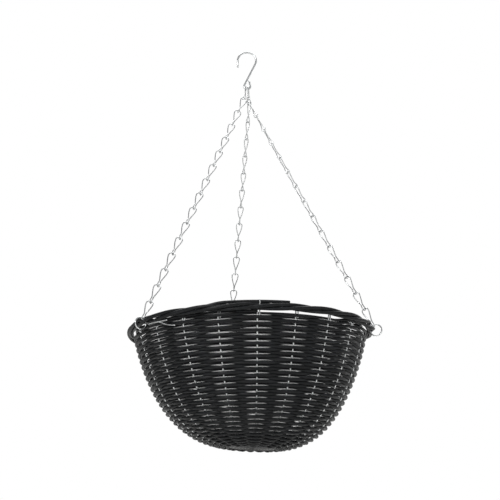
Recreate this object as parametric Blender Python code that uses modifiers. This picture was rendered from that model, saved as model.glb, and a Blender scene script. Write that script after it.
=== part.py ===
"""Hanging basket: a woven bowl under a wound border, on three jack-chain legs and a wire hook.

Metres, +Z up. The origin is the inside of the hook's upper bend, where the hook rests on
whatever holds the basket up. The viewer stands at -Y. Angles round the basket are counted
in degrees from +X towards +Y.
"""

import math

import bmesh
import bpy
from mathutils import Matrix, Vector

# Clearance between pieces that touch on the real basket
SEAT_GAP = 0.0003

# Points closer than this are one point
WELD = 0.000003

# Hook, bent from one length of wire; its radii are those of the wire's centreline
HOOK_WIRE = 0.0030
CROWN_RADIUS = 0.0142
HOOK_HEIGHT = 0.0629
EYE_RADIUS = 0.0048
TIP_LENGTH = 0.0128
TAIL_LENGTH = 0.0085
TAIL_START_ANGLE = 12.0
ARC_STEP = 18.0

# Chain, of links bent from one wire, each with two loops a quarter turn apart
CHAIN_WIRE = 0.0015
LINK_PITCH = 0.0265
UPPER_LOOP_WIDTH = 0.0094
LOWER_LOOP_WIDTH = 0.0062
WAIST_GAP = 0.0004
LINKS_PER_LEG = 16
EYE_SPREAD_ANGLE = 57.6
DRIVING_LEG = "right"
FIRST_LEAN = 8.0

# Rings that tie the legs to the border; each leaves a clearance round a strand and a link's wire
RING_WIRE = 0.0019
RING_CLEARANCE = 0.0013
RING_SIDES = 16
RING_DIRECTION = -30.0

# Border, one cane wound three times round a hoop
RIM_RADIUS = 0.1750
CORE_WIRE = 0.0025
BORDER_CANE = 0.0042
WIND_GAP = 0.00045
CANE_ROUNDS = 3
BULGE_SPREAD = 12.0

# The cane's cut end lies on top of the border and is held down by a wire tie
TAIL_ANGLES = (-102.0, -72.7)
TIE_WIRE = 0.0011
TIE_PLACE = 0.0024

# Bowl: how far it stands in from the rim, its depth, its wall and its see-through gap
BOWL_INSET = 0.00984
BOWL_DEPTH = 0.1571
WALL = 0.0090
GAP_UNDER_BORDER = 0.0027
DEPTH_POWER = 1.2
WIDTH_POWER = 2.983
BOWL_SIDES = 40
BOWL_ROWS = 8

# Frame of stakes that the cane is woven round, and the ring that ties them at the base
STAKE_COUNT = 20
FIRST_STAKE_ANGLE = -86.8
STAKE_WIRE = 0.0020
STAKE_INSET = 0.0045
BASE_RING_RADIUS = 0.0300
GROOVE_CLEARANCE = 0.0004
CUT_OVERRUN = 0.0030

# Half of a link's outline: the share of its length from the top, the share of the loop's
# half width, and how far the link has twisted there, in quarter turns
LINK_OUTLINE_SHARES = (
    ("upper", 0.0, 0.36, 0.0),
    ("upper", 0.15, 0.96, 0.0),
    ("upper", 0.39, 0.90, 0.0),
    ("waist", 0.62, 1.0, 0.5),
    ("lower", 0.82, 1.0, 1.0),
    ("lower", 1.0, 0.52, 1.0),
)

# Each leg: the angle of its ring, its place in the hook's eye, the strand steps of the border
# up to the next ring, the way its first link leans and within which angles, and over how many
# links the chain turns on its way down
LEGS = {
    "right": {"ring": -13.4, "eye": 0, "steps": 6, "lean_to": -55.0, "lean": (0, 15), "turn_links": 15},
    "back": {"ring": 101.7, "eye": 1, "steps": 6, "lean_to": 85.0, "lean": (0, 20), "turn_links": 12},
    "left": {"ring": 215.8, "eye": -1, "steps": 7, "lean_to": 257.0, "lean": (20, 80), "turn_links": 3},
}
FULL_TURN = 360.0
SAMPLES_PER_STEP = 3

# Sizes that follow from the ones above
LINK_LENGTH = LINK_PITCH + CHAIN_WIRE + SEAT_GAP
WIND_RADIUS = (CORE_WIRE + BORDER_CANE) / 2 + WIND_GAP
BORDER_THICKNESS = 2 * WIND_RADIUS + BORDER_CANE
ROPE_RADIUS = RIM_RADIUS - BORDER_THICKNESS / 2
BOWL_RADIUS = RIM_RADIUS - BOWL_INSET
RING_RADIUS = BORDER_CANE + CHAIN_WIRE + RING_WIRE / 2 + RING_CLEARANCE
RING_BULGE = (CORE_WIRE + BORDER_CANE) / 2 + RING_WIRE + 2 * SEAT_GAP
RING_OFFSET = (CORE_WIRE + RING_WIRE) / 2 + SEAT_GAP + RING_RADIUS
EYE_SEAT = (HOOK_WIRE + CHAIN_WIRE) / 2 + SEAT_GAP
RING_SEAT = (RING_WIRE + CHAIN_WIRE) / 2 + SEAT_GAP
LINK_SEAT = CHAIN_WIRE + SEAT_GAP
CROWN_Z = HOOK_WIRE / 2 - CROWN_RADIUS
EYE_Z = HOOK_WIRE / 2 - HOOK_HEIGHT + EYE_RADIUS

# Sides of a thick and of a thin wire, steps of the tie's bends, and rounds of the two searches
THICK_SIDES = 8
THIN_SIDES = 6
TIE_STEPS = 8
AIM_ROUNDS = 6
HALVINGS = 60


def clear_scene():
    for item in list(bpy.data.objects):
        bpy.data.objects.remove(item, do_unlink=True)


def new_collection(name):
    collection = bpy.data.collections.new(name)
    bpy.context.scene.collection.children.link(collection)
    return collection


def new_material(name, colour, roughness, metallic):
    material = bpy.data.materials.new(name)
    material.use_nodes = True
    shader = material.node_tree.nodes["Principled BSDF"]
    shader.inputs["Base Color"].default_value = (*colour, 1.0)
    shader.inputs["Roughness"].default_value = roughness
    shader.inputs["Metallic"].default_value = metallic
    return material


def wire_data(name, points, diameter, closed=False, sides=THIN_SIDES):
    """A round wire along the points, as curve data."""
    curve = bpy.data.curves.new(name, "CURVE")
    curve.dimensions = "3D"
    curve.bevel_depth = diameter / 2
    curve.bevel_resolution = (sides - 4) // 2
    curve.use_fill_caps = not closed
    spline = curve.splines.new("POLY")
    spline.points.add(len(points) - 1)
    for control, place in zip(spline.points, points):
        control.co = (*place, 1.0)
        control.radius = 1.0
    spline.use_cyclic_u = closed
    spline.use_smooth = True
    return curve


def add_object(name, data, collection, material=None):
    item = bpy.data.objects.new(name, data)
    collection.objects.link(item)
    if material is not None and not data.materials:
        data.materials.append(material)
    return item


def mesh_from(item):
    """The object's evaluated shape as a welded mesh, with the object itself removed."""
    bpy.context.view_layer.update()
    graph = bpy.context.evaluated_depsgraph_get()
    mesh = bpy.data.meshes.new_from_object(item.evaluated_get(graph))
    mesh.transform(item.matrix_world)
    bpy.data.objects.remove(item, do_unlink=True)
    shape = bmesh.new()
    shape.from_mesh(mesh)
    bmesh.ops.remove_doubles(shape, verts=shape.verts, dist=WELD)
    bmesh.ops.recalc_face_normals(shape, faces=shape.faces)
    shape.to_mesh(mesh)
    shape.free()
    return mesh


def turned_copies(mesh, name, angles):
    """One mesh that holds a copy of the given one at each angle round the basket."""
    whole = bmesh.new()
    for angle in angles:
        copy = mesh.copy()
        copy.transform(Matrix.Rotation(math.radians(angle), 4, "Z"))
        whole.from_mesh(copy)
        bpy.data.meshes.remove(copy)
    joined = bpy.data.meshes.new(name)
    whole.to_mesh(joined)
    whole.free()
    return joined


def boolean(item, other, operation):
    modifier = item.modifiers.new(operation.title(), "BOOLEAN")
    modifier.operation = operation
    modifier.solver = "EXACT"
    modifier.object = other


def as_cutter(item):
    item.hide_render = True
    item.display_type = "WIRE"


def arc(centre_z, radius, start, end):
    """Points of an arc in the hook's plane, from one angle to another."""
    count = max(2, round(abs(end - start) / ARC_STEP))
    points = []
    for index in range(count + 1):
        angle = math.radians(start + (end - start) * index / count)
        points.append(Vector((radius * math.cos(angle), 0, centre_z + radius * math.sin(angle))))
    return points


def hook_path():
    """The wire's centreline, from the open tip over the crown, down the shank and round the eye."""
    cross = math.degrees(math.asin((CROWN_RADIUS + EYE_RADIUS) / (CROWN_Z - EYE_Z)))
    crown = arc(CROWN_Z, CROWN_RADIUS, 180.0, -cross)
    eye = arc(EYE_Z, EYE_RADIUS, 180.0 - cross, FULL_TURN + TAIL_START_ANGLE)
    tip = crown[0] - Vector((0, 0, TIP_LENGTH))
    last = math.radians(TAIL_START_ANGLE)
    tail = eye[-1] + TAIL_LENGTH * Vector((-math.sin(last), 0, math.cos(last)))
    return [tip, *crown, *eye, tail]


def link_path():
    """A link's centreline from its top wire down, upper loop along X and lower loop along Y."""
    widths = {
        "upper": UPPER_LOOP_WIDTH / 2,
        "waist": (CHAIN_WIRE + WAIST_GAP) / 2,
        "lower": LOWER_LOOP_WIDTH / 2,
    }
    half = []
    for loop, length_share, width_share, quarter_turns in LINK_OUTLINE_SHARES:
        angle = quarter_turns * math.pi / 2
        width = widths[loop] * width_share
        down = LINK_LENGTH * length_share
        half.append(Vector((width * math.cos(angle), width * math.sin(angle), -down)))
    other = [Vector((-place.x, -place.y, place.z)) for place in reversed(half)]
    return half + other


def radial(angle):
    turn = math.radians(angle)
    return Vector((math.cos(turn), math.sin(turn), 0))


def in_section(angle, radius, direction, offset, height):
    """A point offset from the border's centreline; the direction runs from outward (0) to up (90)."""
    turn = math.radians(direction)
    place = radial(angle) * (radius + offset * math.cos(turn))
    place.z = height + offset * math.sin(turn)
    return place


def ring_frame(leg, rope_z):
    """The ring's centre and the outward direction of its plane."""
    centre = in_section(leg["ring"], ROPE_RADIUS, RING_DIRECTION, RING_OFFSET, rope_z)
    return centre, radial(leg["ring"])


def eye_seat(leg, down):
    """The centre of the first link's top wire, inside the hook's eye and opposite to the link's pull."""
    angle = math.radians(-90.0 + EYE_SPREAD_ANGLE * leg["eye"])
    out = Vector((math.cos(angle), 0, math.sin(angle)))
    seat = Vector((0, 0, EYE_Z)) + out * EYE_RADIUS
    push = -out * math.sqrt(1 - down.y ** 2) - Vector((0, down.y, 0))
    return seat + push * EYE_SEAT


def leg_run(leg, lean, rope_z):
    """Where the first two links start, their directions, and the run's spare length."""
    tilt = math.radians(lean)
    first_down = radial(leg["lean_to"]) * math.sin(tilt) - Vector((0, 0, math.cos(tilt)))
    first = eye_seat(leg, first_down)
    knee = first + first_down * LINK_LENGTH
    centre, outward = ring_frame(leg, rope_z)
    down = (centre - knee).normalized()
    for _ in range(AIM_ROUNDS):
        middle = (first_down + down).normalized()
        second = knee - middle * LINK_SEAT / middle.dot(down)
        up = Vector((0, 0, 1))
        pull = (-down.dot(outward) * outward - down.dot(up) * up).normalized()
        end = centre + pull * RING_RADIUS
        down = (end - second).normalized()
    wanted = (LINKS_PER_LEG - 2) * LINK_PITCH + LINK_LENGTH - RING_SEAT
    return first, first_down, second, down, (end - second).length - wanted


def solve(function, low, high):
    """The argument between low and high at which the function crosses zero."""
    rising = function(high) > function(low)
    for _ in range(HALVINGS):
        middle = (low + high) / 2
        if (function(middle) > 0) == rising:
            high = middle
        else:
            low = middle
    return (low + high) / 2


def rope_height():
    """How low the border's centreline hangs when the right leg is straight."""
    reach = LINKS_PER_LEG * LINK_LENGTH
    driving = LEGS[DRIVING_LEG]
    return solve(lambda height: leg_run(driving, FIRST_LEAN, height)[-1], EYE_Z - reach, EYE_Z)


def leg_lean(leg, rope_z):
    """The first link's lean that takes up the leg's length."""
    return solve(lambda lean: leg_run(leg, lean, rope_z)[-1], *leg["lean"])


def half_turn_range(angle):
    """The same line's angle, between minus and plus a quarter turn."""
    return (angle + math.pi / 2) % math.pi - math.pi / 2


def leg_turns(name, start):
    """The turn of each link's upper loop out of the leg's radial plane, first link left out."""
    count = LEGS[name]["turn_links"]
    links = range(1, LINKS_PER_LEG)
    if name != "back":
        return [start * max(0.0, 1 - link / count) for link in links]
    widest = math.copysign(math.pi / 2, start) - start
    back = LINKS_PER_LEG - 1 - count
    rise = [start + (widest - start) * link / count for link in links if link <= count]
    fall = [widest * (1 - (link - count) / back) for link in links if link > count]
    return rise + fall


def link_matrix(top, down, across):
    """Places a link with its top wire at a point, hanging along down, its upper loop along across."""
    z_axis = -down
    x_axis = (across - across.dot(z_axis) * z_axis).normalized()
    y_axis = z_axis.cross(x_axis)
    turn = Matrix((x_axis, y_axis, z_axis)).transposed()
    return Matrix.Translation(top) @ turn.to_4x4()


def add_leg(name, rope_z, data, collection):
    leg = LEGS[name]
    lean = FIRST_LEAN if name == DRIVING_LEG else leg_lean(leg, rope_z)
    first, first_down, second, down, _ = leg_run(leg, lean, rope_z)
    depth = Vector((0, 1, 0))
    item = add_object(f"{name}_link_01", data, collection)
    item.matrix_world = link_matrix(first, first_down, depth)
    outward = radial(leg["ring"])
    across = (outward - outward.dot(down) * down).normalized()
    side = down.cross(across)
    start = half_turn_range(math.atan2(depth.dot(side), depth.dot(across)))
    for index, turn in enumerate(leg_turns(name, start)):
        item = add_object(f"{name}_link_{index + 2:02d}", data, collection)
        top = second + down * LINK_PITCH * index
        item.matrix_world = link_matrix(top, down, across * math.cos(turn) + side * math.sin(turn))


def add_ring(name, rope_z, data, collection):
    """A ring in the radial plane, with its object's origin and Z axis on the axis it turns about."""
    centre, outward = ring_frame(LEGS[name], rope_z)
    up = Vector((0, 0, 1))
    turn = Matrix((outward, up, outward.cross(up))).transposed()
    item = add_object(f"{name}_ring", data, collection)
    item.matrix_world = Matrix.Translation(centre) @ turn.to_4x4()


def ring_path(radius, count):
    points = []
    for index in range(count):
        angle = 2 * math.pi * index / count
        points.append(Vector((radius * math.cos(angle), radius * math.sin(angle), 0)))
    return points


def border_samples():
    """Angles round the border and the cane's phase there; a strand faces each ring."""
    samples = []
    phase = RING_DIRECTION
    step = FULL_TURN / CANE_ROUNDS
    legs = list(LEGS.values())
    for leg, following in zip(legs, legs[1:] + legs[:1]):
        width = (following["ring"] - leg["ring"]) % FULL_TURN
        count = leg["steps"] * SAMPLES_PER_STEP
        for index in range(count):
            share = index / count
            samples.append((leg["ring"] + width * share, phase + leg["steps"] * step * share))
        phase += leg["steps"] * step
    return samples, phase - RING_DIRECTION


def ring_bulge(angle, direction):
    """How far a strand is pushed out where a ring passes between it and the hoop."""
    found = 0.0
    for leg in LEGS.values():
        apart = abs((angle - leg["ring"] + FULL_TURN / 2) % FULL_TURN - FULL_TURN / 2)
        off = abs((direction - RING_DIRECTION + FULL_TURN / 2) % FULL_TURN - FULL_TURN / 2)
        if apart < BULGE_SPREAD and off < FULL_TURN / 4:
            found = math.cos(math.pi / 2 * apart / BULGE_SPREAD) ** 2
    return found * (RING_BULGE - WIND_RADIUS)


def cane_path(rope_z):
    """The wound cane's closed centreline, three times round the hoop."""
    samples, turns = border_samples()
    points = []
    for round_index in range(CANE_ROUNDS):
        for angle, phase in samples:
            direction = phase + turns * round_index
            offset = WIND_RADIUS + ring_bulge(angle, direction)
            points.append(in_section(angle, ROPE_RADIUS, direction, offset, rope_z))
    return points


def hoop_path(rope_z):
    samples, _ = border_samples()
    return [in_section(angle, ROPE_RADIUS, 0.0, 0.0, rope_z) for angle, _ in samples]


def tail_path(rope_z):
    """The cane's end along the border's top, just clear of the highest strands."""
    count = SAMPLES_PER_STEP * 2
    offset = WIND_RADIUS + BORDER_CANE + SEAT_GAP
    points = []
    for index in range(count + 1):
        angle = TAIL_ANGLES[0] + (TAIL_ANGLES[1] - TAIL_ANGLES[0]) * index / count
        points.append(in_section(angle, ROPE_RADIUS, 90.0, offset, rope_z))
    return points


def tie_path(rope_z):
    """A wire loop drawn tight round the border and the cane's end, beside the front stake."""
    angle = FIRST_STAKE_ANGLE + math.degrees(TIE_PLACE / ROPE_RADIUS)
    clear = SEAT_GAP + TIE_WIRE / 2
    low = (BORDER_THICKNESS / 2 + clear) / math.cos(math.pi / TIE_STEPS)
    high = (BORDER_CANE / 2 + clear) / math.cos(math.pi / TIE_STEPS)
    rise = WIND_RADIUS + BORDER_CANE + SEAT_GAP
    slope = math.degrees(math.asin((low - high) / rise))
    points = []
    for index in range(TIE_STEPS + 1):
        direction = 180.0 - slope + (180.0 + 2 * slope) * index / TIE_STEPS
        points.append(in_section(angle, ROPE_RADIUS, direction, low, rope_z))
    for index in range(TIE_STEPS // 2 + 1):
        direction = slope + (180.0 - 2 * slope) * index * 2 / TIE_STEPS
        points.append(in_section(angle, ROPE_RADIUS, direction, high, rope_z + rise))
    return points


def bowl_point(inset, sweep):
    """The bowl's half section, inset from its outside; the sweep runs from 0 at the mouth to 90."""
    turn = math.radians(sweep)
    across = math.cos(turn) ** (2 / WIDTH_POWER)
    depth = math.sin(turn) ** (2 / DEPTH_POWER)
    return Vector(((BOWL_RADIUS - inset) * across, 0, -(BOWL_DEPTH - inset) * depth))


def sweep_at_depth(inset, depth):
    """The sweep at which the section at this inset is that deep."""
    return math.degrees(math.asin((depth / (BOWL_DEPTH - inset)) ** (DEPTH_POWER / 2)))


def sweep_at_radius(inset, radius):
    return math.degrees(math.acos((radius / (BOWL_RADIUS - inset)) ** (WIDTH_POWER / 2)))


def section(inset, sweeps):
    return [bowl_point(inset, sweep) for sweep in sweeps]


def even_sweeps(start, end, count):
    return [start + (end - start) * index / count for index in range(count + 1)]


def stake_sweeps():
    """Where the stakes bend, from the top of the weave to the base ring."""
    top = sweep_at_depth(STAKE_INSET, GAP_UNDER_BORDER)
    rows = even_sweeps(0.0, sweep_at_radius(STAKE_INSET, BASE_RING_RADIUS), BOWL_ROWS)
    return [top] + [sweep for sweep in rows if sweep > top]


def bowl_base_z(rope_z):
    """The height that the bowl's section is measured down from, the border's underside."""
    return rope_z - BORDER_THICKNESS / 2


def add_weave(rope_z, parts, cutters, material):
    """The woven bowl: a turned wall with open grooves outside for the stakes and the base ring."""
    top = GAP_UNDER_BORDER
    outer = section(0, even_sweeps(sweep_at_depth(0, top), 90.0, BOWL_ROWS))
    inner = section(WALL, even_sweeps(sweep_at_depth(WALL, top), 90.0, BOWL_ROWS - 2))
    for profile in (outer, inner):
        profile[-1].x = 0
    profile = list(reversed(inner)) + outer
    mesh = bpy.data.meshes.new("weave")
    edges = [(index, index + 1) for index in range(len(profile) - 1)]
    mesh.from_pydata([tuple(place) for place in profile], edges, [])
    weave = add_object("weave", mesh, parts, material)
    bay = FULL_TURN / BOWL_SIDES
    weave.location = (0, 0, bowl_base_z(rope_z))
    weave.rotation_euler = (0, 0, math.radians(FIRST_STAKE_ANGLE + bay / 2))
    screw = weave.modifiers.new("Turn", "SCREW")
    screw.steps = BOWL_SIDES
    screw.render_steps = BOWL_SIDES
    screw.use_merge_vertices = True
    screw.merge_threshold = WELD
    screw.use_smooth_shade = True
    boolean(weave, groove_cutter(rope_z, cutters), "DIFFERENCE")
    boolean(weave, base_groove_cutter(rope_z, cutters), "DIFFERENCE")
    return weave


def fin_outline():
    """The side view of the slot that a stake lies in, from past the mouth to the base ring."""
    floor = STAKE_INSET + STAKE_WIRE / 2 + GROOVE_CLEARANCE
    sweeps = [0.0, *stake_sweeps()]
    return section(floor, sweeps) + list(reversed(section(-CUT_OVERRUN, sweeps)))


def groove_cutter(rope_z, cutters):
    """All the stakes' slots as one cutter."""
    curve = bpy.data.curves.new("fin", "CURVE")
    curve.dimensions = "2D"
    curve.fill_mode = "BOTH"
    curve.extrude = STAKE_WIRE / 2 + GROOVE_CLEARANCE
    outline = fin_outline()
    spline = curve.splines.new("POLY")
    spline.points.add(len(outline) - 1)
    for control, place in zip(spline.points, outline):
        control.co = (place.x, place.z, 0, 1)
    spline.use_cyclic_u = True
    fin = add_object("fin", curve, cutters)
    fin.matrix_world = Matrix.Rotation(math.pi / 2, 4, "X")
    mesh = mesh_from(fin)
    slots = turned_copies(mesh, "stake_slots", stake_angles())
    slots.transform(Matrix.Translation((0, 0, bowl_base_z(rope_z))))
    cutter = add_object("stake_slots", slots, cutters)
    as_cutter(cutter)
    return cutter


def base_groove_cutter(rope_z, cutters):
    """A ring-shaped cutter for the groove that holds the base ring."""
    seat = bowl_point(STAKE_INSET, sweep_at_radius(STAKE_INSET, BASE_RING_RADIUS))
    half = STAKE_WIRE / 2 + GROOVE_CLEARANCE
    floor = seat.z + half
    mouth = -BOWL_DEPTH - CUT_OVERRUN
    corners = (
        (seat.x - half, floor),
        (seat.x + half, floor),
        (seat.x + half, mouth),
        (seat.x - half, mouth),
    )
    shape = bmesh.new()
    places = [shape.verts.new((across, 0, height)) for across, height in corners]
    sides = [shape.edges.new(pair) for pair in zip(places, places[1:] + places[:1])]
    bmesh.ops.spin(
        shape,
        geom=places + sides,
        cent=(0, 0, 0),
        axis=(0, 0, 1),
        angle=2 * math.pi,
        steps=STAKE_COUNT,
        use_merge=True,
    )
    bmesh.ops.recalc_face_normals(shape, faces=shape.faces)
    mesh = bpy.data.meshes.new("base_ring_slot")
    shape.to_mesh(mesh)
    shape.free()
    mesh.transform(Matrix.Translation((0, 0, bowl_base_z(rope_z))))
    cutter = add_object("base_ring_slot", mesh, cutters)
    as_cutter(cutter)
    return cutter


def stake_angles():
    return [FIRST_STAKE_ANGLE + FULL_TURN / STAKE_COUNT * index for index in range(STAKE_COUNT)]


def add_frame(rope_z, parts, cutters, material):
    """The stakes and the base ring, welded into one frame."""
    path = section(STAKE_INSET, stake_sweeps())
    for place in path:
        place.z += bowl_base_z(rope_z)
    rope = Vector((ROPE_RADIUS, 0, rope_z))
    reach = BORDER_THICKNESS / 2 + 2 * SEAT_GAP
    tip = rope + (path[0] - rope).normalized() * reach
    stake = add_object("stake", wire_data("stake", [tip, *path], STAKE_WIRE), cutters)
    stakes = add_object("stakes", turned_copies(mesh_from(stake), "stakes", stake_angles()), cutters)
    as_cutter(stakes)
    ring = wire_data("base_ring", ring_path(path[-1].x, STAKE_COUNT), STAKE_WIRE, closed=True)
    base = add_object("base_ring", ring, cutters)
    base.location = (0, 0, path[-1].z)
    base.rotation_euler = (0, 0, math.radians(FIRST_STAKE_ANGLE))
    frame = add_object("wire_frame", mesh_from(base), parts, material)
    boolean(frame, stakes, "UNION")
    return frame


def main():
    clear_scene()
    parts = new_collection("hanging_basket")
    cutters = new_collection("cutters")
    steel = new_material("hook_wire", (0.62, 0.62, 0.61), 0.30, 1.0)
    zinc = new_material("chain_wire", (0.60, 0.60, 0.58), 0.35, 1.0)
    ring_zinc = new_material("ring_wire", (0.56, 0.56, 0.55), 0.32, 1.0)
    stake_wire = new_material("stake_wire", (0.50, 0.50, 0.49), 0.40, 1.0)
    hoop_wire = new_material("hoop_wire", (0.50, 0.50, 0.49), 0.40, 1.0)
    tie_wire = new_material("tie_wire", (0.66, 0.66, 0.65), 0.30, 1.0)
    woven_cane = new_material("woven_cane", (0.016, 0.016, 0.018), 0.38, 0.0)
    border_cane = new_material("border_cane", (0.014, 0.014, 0.016), 0.35, 0.0)
    rope_z = rope_height()

    add_object("hook", wire_data("hook", hook_path(), HOOK_WIRE, sides=THICK_SIDES), parts, steel)
    link = wire_data("link", link_path(), CHAIN_WIRE, closed=True)
    link.materials.append(zinc)
    ring = wire_data("ring", ring_path(RING_RADIUS, RING_SIDES), RING_WIRE, closed=True)
    ring.materials.append(ring_zinc)
    for name in LEGS:
        add_leg(name, rope_z, link, parts)
        add_ring(name, rope_z, ring, parts)

    cane = wire_data("border_cane", cane_path(rope_z), BORDER_CANE, closed=True)
    add_object("border_cane", cane, parts, border_cane)
    hoop = wire_data("rim_hoop", hoop_path(rope_z), CORE_WIRE, closed=True)
    add_object("rim_hoop", hoop, parts, hoop_wire)
    tail = wire_data("cane_end", tail_path(rope_z), BORDER_CANE, sides=THICK_SIDES)
    add_object("cane_end", tail, parts, border_cane)
    tie = wire_data("cane_tie", tie_path(rope_z), TIE_WIRE, closed=True)
    add_object("cane_tie", tie, parts, tie_wire)

    add_weave(rope_z, parts, cutters, woven_cane)
    add_frame(rope_z, parts, cutters, stake_wire)


main()
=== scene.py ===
"""Looks of the hanging basket: black woven cane on bright wire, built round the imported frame.

Metres, +Z up. The origin is the inside of the hook's upper bend, and the viewer stands at -Y.
Angles round the basket are in degrees from +X towards +Y.
"""

import math
import random

import bmesh
import bpy
import numpy as np
from mathutils import Matrix, Vector


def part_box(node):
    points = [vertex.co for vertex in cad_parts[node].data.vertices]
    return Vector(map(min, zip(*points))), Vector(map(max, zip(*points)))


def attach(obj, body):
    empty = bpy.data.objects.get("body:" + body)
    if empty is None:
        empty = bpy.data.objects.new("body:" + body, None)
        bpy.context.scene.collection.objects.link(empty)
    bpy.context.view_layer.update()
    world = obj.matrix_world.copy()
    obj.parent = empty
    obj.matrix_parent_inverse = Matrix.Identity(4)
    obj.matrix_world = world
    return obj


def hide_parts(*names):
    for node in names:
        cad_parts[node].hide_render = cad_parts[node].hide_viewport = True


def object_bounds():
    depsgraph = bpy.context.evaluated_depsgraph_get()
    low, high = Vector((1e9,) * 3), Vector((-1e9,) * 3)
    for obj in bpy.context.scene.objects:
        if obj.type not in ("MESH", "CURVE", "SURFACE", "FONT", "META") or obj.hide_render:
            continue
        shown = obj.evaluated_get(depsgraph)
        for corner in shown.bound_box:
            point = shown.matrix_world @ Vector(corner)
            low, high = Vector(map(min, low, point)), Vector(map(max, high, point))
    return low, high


bl_info = {
    "name": "Hanging Basket",
    "version": (1, 0, 0),
    "blender": (4, 5, 0),
    "location": "View3D > Sidebar > Basket",
    "description": "Builds the finished looks of a woven hanging basket round its frame",
    "category": "Object",
}

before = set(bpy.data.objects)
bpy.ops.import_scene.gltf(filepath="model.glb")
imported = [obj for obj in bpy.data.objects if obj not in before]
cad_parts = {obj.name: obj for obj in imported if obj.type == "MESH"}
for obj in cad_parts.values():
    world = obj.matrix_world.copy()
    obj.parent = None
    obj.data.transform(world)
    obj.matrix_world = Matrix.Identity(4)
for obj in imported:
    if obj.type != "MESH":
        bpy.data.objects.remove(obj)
CAD_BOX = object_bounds()

LEGS = ("right", "back", "left")
LINKS_PER_LEG = 16
FULL_TURN = 360.0

# Air left where one wire passes another or the cane
GAP = 0.0003

# Edges that turn more than this stay sharp, as at a cut end
SHARP_ANGLE = 50.0

# Hook: radii of its wire's centreline and the straight lengths at its two ends
CROWN_RADIUS = 0.0142
HOOK_HEIGHT = 0.0629
EYE_RADIUS = 0.0048
TIP_LENGTH = 0.0112
TAIL_LENGTH = 0.0085
TAIL_START_ANGLE = 12.0
HOOK_ARC_STEP = 5.0

# Chain link, from its top wire to its bottom wire, and the widths of its two loops
LINK_LENGTH = 0.0283
UPPER_LOOP_WIDTH = 0.0094
LOWER_LOOP_WIDTH = 0.0062
WAIST_WIDTH = 0.0019
LINK_STEPS = 5

# A link's loops are read from its CAD corners past this share of its half length, and it stands
# turned by so many degrees about its own length
END_SHARE = 0.5
LINK_TURNS = {"right": -18.0, "back": -18.0, "left": -38.0}

# Half of a link's outline: its loop, the share of the length from the top, the share of the
# loop's half width, and the twist there in quarter turns
LINK_OUTLINE_SHARES = (
    ("upper", 0.0, 0.42, 0.0),
    ("upper", 0.03, 0.80, 0.0),
    ("upper", 0.09, 0.98, 0.0),
    ("upper", 0.18, 1.0, 0.0),
    ("upper", 0.32, 0.84, 0.0),
    ("upper", 0.46, 0.60, 0.03),
    ("upper", 0.58, 0.38, 0.2),
    ("waist", 0.68, 1.4, 0.5),
    ("lower", 0.80, 0.68, 0.78),
    ("lower", 0.92, 0.92, 0.84),
    ("lower", 0.98, 0.76, 0.84),
    ("lower", 1.0, 0.36, 0.84),
)

# Border: its outer radius, its hoop, and how the cane is wound round it
RIM_RADIUS = 0.1750
HOOP_WIRE = 0.0008
WIND_RADIUS = 0.00287
WIND_DIAMETER = 0.0049
CANE_ROUNDS = 3
STEPS_TO_NEXT_RING = (6, 6, 7)
SAMPLES_PER_STEP = 14
BORDER_THICKNESS = 0.0118
ROPE_RADIUS = RIM_RADIUS - BORDER_THICKNESS / 2
HOOP_STEPS = 240

# Rings: their wire, the butt of its two ends, where they pass in the border's section and how far
# along the border they push its strand out
RING_WIRE = 0.0019
RING_BUTT_ANGLE = 200
RING_BUTT_GAP = 0.0006
RING_STEPS = 64
RING_DIRECTION = -30.0
BULGE_SPREAD = 12.0

# Cut end of the border's cane: where it leaves the winding, where it lies free and where it ends,
# and how far inwards of the top it starts in the border's section
TAIL_ANGLES = (-113.0, -101.0, -72.7)
TAIL_LEAN = 20.0
TAIL_STEPS = 40
END_DIAMETER = 0.0042
TIE_ANGLE = -85.9
TIE_STEPS = 16

# Bowl: outside radius and depth under the border, and the wall's half thickness
BOWL_RADIUS = 0.16516
BOWL_DEPTH = 0.1571
STAKE_INSET = 0.0045

# How full its section is, how much lower its base hangs at the right, and the section's steps
DEPTH_POWER = 1.17
WIDTH_POWER = 3.3
BASE_DROOP = 0.06
SECTION_STEPS = 600

# Rows of cane: the first one's length down the wall, the share of the pitch over it, and how many
# rows are pressed up or down with the top one. At the right they sink towards a long gap under
# the border and rise behind it: how far across the view this happens, and how far they rise.
FIRST_ROW = 0.0014
TOP_PITCH_SHARE = 0.8
RISEN_ROWS = 26
RIGHT_VIEWS = (0.05, 0.70, 0.80)
RIGHT_RISES = (0.0, -0.0024, 0.0024)

# The wall's lean at which proud and inner turns lie level, in front and more at the two sides
LEVEL_VIEW = 0.24
SIDE_VIEW = 0.10

# The weavers' points from stake to stake, and how near to the middle they flatten and end, in
# cane widths
WEAVER_SAMPLES = 8
FLATTENED_WIDTHS = 1.5
LAST_WIDTHS = 0.6

# Painted light on the undersides of the inner turns: how far down the wall it ends, over what
# length it fades, and how strong it is at the two sides
PAINTED_LIGHT_LENGTH = 0.176
PAINTED_LIGHT_FADE = 0.012
PAINTED_LIGHT_AT_SIDES = 0.25

# Stakes: their hairpin's free end and bend, and how they sway on the way down
STAKE_COUNT = 20
FIRST_STAKE_ANGLE = -86.8
STAKE_STEPS = 44
HAIRPIN_LENGTHS = (0.005, 0.002)
HAIRPIN_STEPS = 6
SWAY_RADIANS = 9
BASE_RING_RADIUS = 0.0300
BASE_RING_STEPS = 96

# Two loose wire ends at the left, each as lengths down the wall, angles and offsets outwards
STRAY_WIRE = 0.0012
STRAY_STEPS = 6
STRAY_ENDS = (
    ((-0.0012, -142.5, 0.0070), (0.0006, -140.3, 0.0130),
     (0.0006, -136.3, 0.0138), (0.0010, -127.8, 0.0138)),
    ((-0.0006, -137.5, 0.0030), (0.0014, -134.5, 0.0056),
     (0.0056, -130.5, 0.0056), (0.0080, -126.0, 0.0056)),
)

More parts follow.
